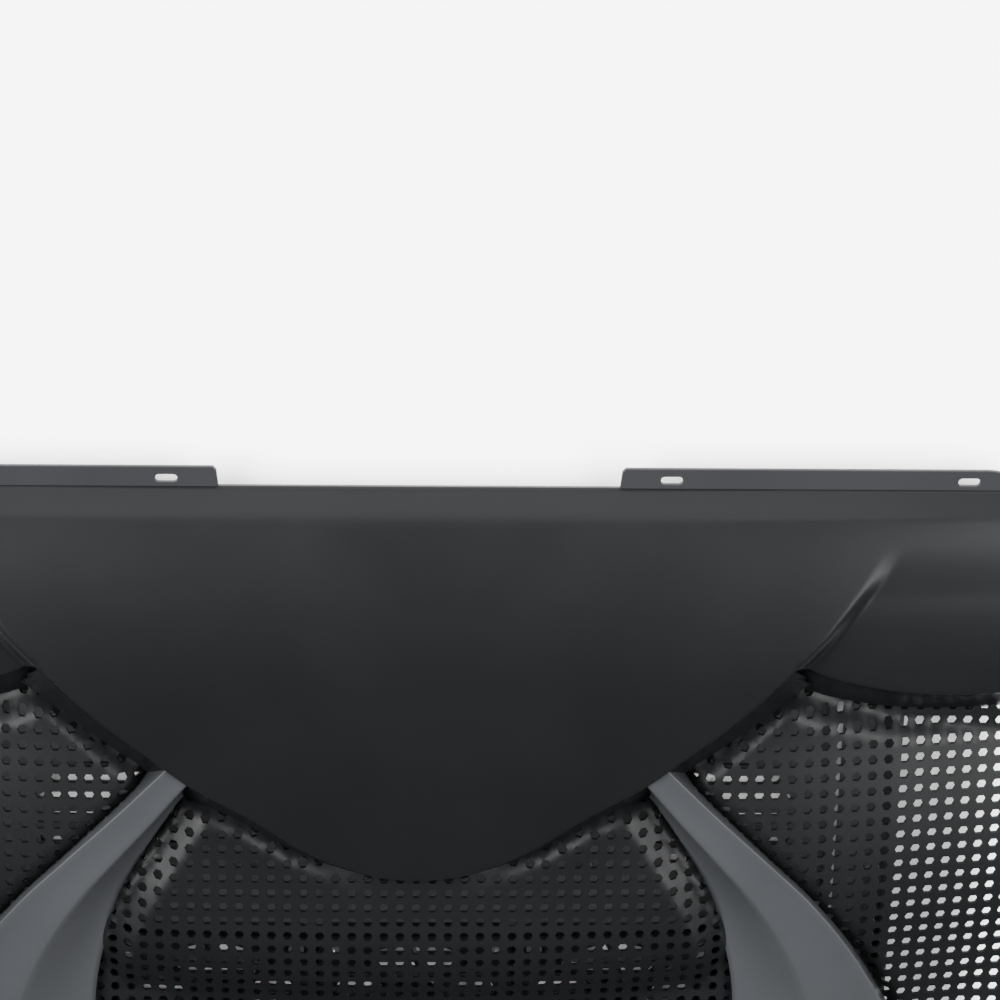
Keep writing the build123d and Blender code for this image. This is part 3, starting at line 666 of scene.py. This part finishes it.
def rib_columns():
    """The right rib's lines of vertices, from the foot of its outer wall to the foot of its inner wall."""
    outer = plan_curve(RIB_OUTER, RIB_STATIONS)
    crease = plan_curve(RIB_CREASE, RIB_STATIONS)
    base = plan_curve(RIB_BASE, RIB_STATIONS)
    top = rib_tops(outer)
    across = crease - outer
    wide = np.linalg.norm(across, axis=1)
    across /= wide[:, None]
    columns = [np.column_stack([outer, np.full(RIB_STATIONS, SEAM_Z + 3)])]
    for turn in np.linspace(0, math.pi / 2, 4):
        inwards = RIB_ROUND * (1 - math.cos(turn))
        columns.append(np.column_stack([outer + across * inwards, top - RIB_ROUND * (1 - math.sin(turn))]))
    for t in np.linspace(0, 1, 8)[1:]:
        sag = RIB_SAG * wide * (1 - (2 * t - 1) ** 2)
        inwards = RIB_ROUND + (wide - RIB_CREASE_SOFT - RIB_ROUND) * t
        columns.append(np.column_stack([outer + across * inwards[:, None], top - sag]))
    fall_start = crease - across * RIB_FALL_START
    columns.append(np.column_stack([fall_start, top - 0.1]))
    for t in np.linspace(0, 1, 12)[1:]:
        bend = 0.35 * t + 0.65 * math.sin(t * math.pi / 2)
        place = fall_start + (base - fall_start) * t
        columns.append(np.column_stack([place, top - 0.1 - (top - 0.1 - RIB_FOOT_Z) * bend]))
    return columns


def make_rib(side):
    """One rib: upright outer wall, broad top, rounded crease and a sloped inner wall."""
    grid = np.stack(rib_columns(), axis=1)
    grid[:, :, 0] *= side
    faces = grid_faces(grid.shape[0], grid.shape[1], flip=side < 0)
    rib = new_mesh("rib_blade_" + ("right" if side > 0 else "left"), grid.reshape(-1, 3), faces)
    rib = thicken(rib, RIB_WALL)
    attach(rib, "base")
    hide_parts("rib_right" if side > 0 else "rib_left")
    return rib


# ---------------------------------------------------------------- materials
def plastic(name, colour, roughness, shine=0.075, grain=0.06, grain_size=0.35, variation=0.12):
    """Moulded plastic: fine texture, with slightly uneven colour and gloss."""
    material = bpy.data.materials.new(name)
    material.use_nodes = True
    nodes, links = material.node_tree.nodes, material.node_tree.links
    shader = nodes["Principled BSDF"]
    shader.inputs["IOR"].default_value = 1.5
    shader.inputs["Specular IOR Level"].default_value = shine
    place = nodes.new("ShaderNodeTexCoord")
    fine = nodes.new("ShaderNodeTexNoise")
    fine.inputs["Scale"].default_value = 1 / (grain_size * MM)
    fine.inputs["Detail"].default_value = 3
    links.new(place.outputs["Object"], fine.inputs["Vector"])
    bump = nodes.new("ShaderNodeBump")
    bump.inputs["Strength"].default_value = grain
    bump.inputs["Distance"].default_value = 0.05 * MM
    links.new(fine.outputs["Fac"], bump.inputs["Height"])
    links.new(bump.outputs["Normal"], shader.inputs["Normal"])
    broad = nodes.new("ShaderNodeTexNoise")
    broad.inputs["Scale"].default_value = 22
    broad.inputs["Detail"].default_value = 4
    links.new(place.outputs["Object"], broad.inputs["Vector"])
    tint = nodes.new("ShaderNodeMapRange")
    tint.inputs["To Min"].default_value = 1 - variation
    tint.inputs["To Max"].default_value = 1 + variation
    links.new(broad.outputs["Fac"], tint.inputs["Value"])
    scale = nodes.new("ShaderNodeVectorMath")
    scale.operation = "SCALE"
    scale.inputs[0].default_value = colour
    links.new(tint.outputs["Result"], scale.inputs["Scale"])
    links.new(scale.outputs["Vector"], shader.inputs["Base Color"])
    gloss = nodes.new("ShaderNodeMapRange")
    gloss.inputs["To Min"].default_value = roughness - 0.04
    gloss.inputs["To Max"].default_value = roughness + 0.05
    links.new(broad.outputs["Fac"], gloss.inputs["Value"])
    links.new(gloss.outputs["Result"], shader.inputs["Roughness"])
    return material


def clear_plastic(name):
    """Slightly frosted clear plastic."""
    material = plastic(name, (0.85, 0.87, 0.88), 0.18, shine=0.5, grain=0.03)
    material.node_tree.nodes["Principled BSDF"].inputs["Transmission Weight"].default_value = 0.85
    return material


def metal(name, colour, roughness):
    """Plated metal with slightly uneven gloss."""
    material = plastic(name, colour, roughness, grain=0.03, grain_size=0.2, variation=0.05)
    material.node_tree.nodes["Principled BSDF"].inputs["Metallic"].default_value = 1
    return material


def give(piece, material):
    """Sets a piece's only material."""
    piece.data.materials.clear()
    piece.data.materials.append(material)


def dress_node(name, material):
    """Gives a CAD node a material without touching its mesh."""
    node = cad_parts[name]
    for slot in node.material_slots:
        slot.material = material


# ---------------------------------------------------------------- camera, lights and floor
CAMERA_AT = Vector((-10.8, 560.6, 1031.0))
CAMERA_AIM = Vector((26.9, 144.3, 30.0))
CAMERA_ROLL = math.radians(1.14)
CAMERA_LENS = 116.08


def make_camera():
    """A long lens above and behind the pad, looking forwards and down, slightly rolled."""
    data = bpy.data.cameras.new("camera")
    data.lens = CAMERA_LENS
    data.sensor_width = 36
    data.clip_end = 20
    camera = bpy.data.objects.new("camera", data)
    bpy.context.scene.collection.objects.link(camera)
    back = (CAMERA_AT - CAMERA_AIM).normalized()
    right = Vector((0, 1, 0)).cross(back).normalized()
    up = back.cross(right)
    turned_right = right * math.cos(CAMERA_ROLL) + up * math.sin(CAMERA_ROLL)
    turned_up = back.cross(turned_right)
    matrix = Matrix((turned_right, turned_up, back)).transposed().to_4x4()
    matrix.translation = CAMERA_AT * MM
    camera.matrix_world = matrix
    bpy.context.scene.camera = camera


def area_light(name, place, aim, size, power):
    """A soft rectangular light; its place and aim are in metres."""
    data = bpy.data.lights.new(name, "AREA")
    data.shape = "RECTANGLE"
    data.size, data.size_y = size
    data.energy = power
    light = bpy.data.objects.new(name, data)
    bpy.context.scene.collection.objects.link(light)
    light.location = place
    light.rotation_euler = (Vector(aim) - Vector(place)).to_track_quat("-Z", "Y").to_euler()


def make_stage():
    """A plain pale floor, an even surround and three soft lights."""
    bpy.ops.mesh.primitive_plane_add(size=12, location=(0, 0, 0))
    floor = bpy.context.object
    floor.name = "floor"
    material = bpy.data.materials.new("floor")
    material.use_nodes = True
    shader = material.node_tree.nodes["Principled BSDF"]
    shader.inputs["Base Color"].default_value = (0.9, 0.9, 0.9, 1)
    shader.inputs["Roughness"].default_value = 0.9
    floor.data.materials.append(material)
    world = bpy.data.worlds.new("studio")
    world.use_nodes = True
    world.node_tree.nodes["Background"].inputs["Color"].default_value = (1, 1, 1, 1)
    world.node_tree.nodes["Background"].inputs["Strength"].default_value = 0.10
    bpy.context.scene.world = world
    area_light("rear_softbox", (0.0, 2.3, 0.95), (0, 0.1, 0), (4.2, 1.5), 175)
    area_light("left_softbox", (-1.7, 0.7, 1.7), (0, 0, 0), (2.2, 1.4), 410)
    area_light("right_softbox", (1.6, 0.5, 1.7), (0, 0, 0), (2.2, 1.4), 300)


# ---------------------------------------------------------------- the whole object
NODE_MATERIALS = {                   # start of a node's name: its material
    "front_bezel": "satin_black",
    "bottom_tray": "tray_grey",
    "rear_leg": "satin_black",
    "laptop_stop": "satin_black",
    "fan_frame": "fan_black",
    "fan_rotor": "rotor_black",
    "fan_stator": "copper",
    "fan_screws": "steel",
    "casing_screws": "steel",
    "stop_pin": "steel",
    "leg_pin": "steel",
    "leg_pad": "rubber",
    "rubber_feet": "rubber",
    "power_button": "control_grey",
    "speed_dial": "control_grey",
    "power_switch": "switch_black",
    "speed_potentiometer": "switch_black",
    "lamp_lens": "clear_lens",
    "status_lamp": "lamp_white",
    "control_board": "circuit_board",
    "socket_board": "circuit_board",
    "usb_socket": "socket_metal",
    "fan_leads": "lead_jacket",
    "feed_lead": "lead_grey",
}


def make_materials():
    """One procedural material for each real one, and a paler copy of the satin black for the tabs, which is
    painted highlight.
    """
    return {
        "satin_black": plastic("satin_black", (0.0026, 0.0028, 0.0031), 0.34),
        # a paler copy of the satin black for the rear tabs: painted highlight standing in for the light they
        # catch from the rear softbox
        "tab_painted_highlight": plastic("tab_painted_highlight", (0.0090, 0.0093, 0.0103), 0.42),
        "deck_black": plastic("deck_black", (0.0022, 0.0024, 0.0026), 0.42, grain=0.08),
        "rib_grey": plastic("rib_grey", (0.0150, 0.0158, 0.0171), 0.33),
        "tray_grey": plastic("tray_grey", (0.040, 0.040, 0.042), 0.6, grain=0.15),
        "fan_black": plastic("fan_black", (0.0065, 0.0065, 0.0070), 0.5),
        "rotor_black": plastic("rotor_black", (0.005, 0.005, 0.0055), 0.38, shine=0.19),
        "control_grey": plastic("control_grey", (0.025, 0.0255, 0.0275), 0.45, grain=0.10),
        "switch_black": plastic("switch_black", (0.008, 0.008, 0.0085), 0.5, shine=0.2),
        "rubber": plastic("rubber", (0.012, 0.012, 0.012), 0.85, grain=0.25, grain_size=0.6),
        "lead_jacket": plastic("lead_jacket", (0.011, 0.011, 0.0115), 0.55, shine=0.19),
        "lead_grey": plastic("lead_grey", (0.18, 0.18, 0.185), 0.6),
        "lamp_white": plastic("lamp_white", (0.75, 0.74, 0.68), 0.35, shine=0.5),
        "circuit_board": plastic("circuit_board", (0.012, 0.075, 0.032), 0.35, shine=0.5, variation=0.3),
        "clear_lens": clear_plastic("clear_lens"),
        "copper": metal("copper", (0.62, 0.27, 0.12), 0.35),
        "steel": metal("steel", (0.48, 0.48, 0.49), 0.32),
        "socket_metal": metal("socket_metal", (0.62, 0.61, 0.58), 0.25),
    }


def main():
    """Everything in the scene, in order."""
    make_camera()
    make_stage()
    materials = make_materials()
    make_cowl(materials["satin_black"], materials["tab_painted_highlight"])
    give(make_deck(), materials["deck_black"])
    for side in (1, -1):
        give(make_rib(side), materials["rib_grey"])
    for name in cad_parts:
        for start, material in NODE_MATERIALS.items():
            if name.startswith(start):
                dress_node(name, materials[material])


main()
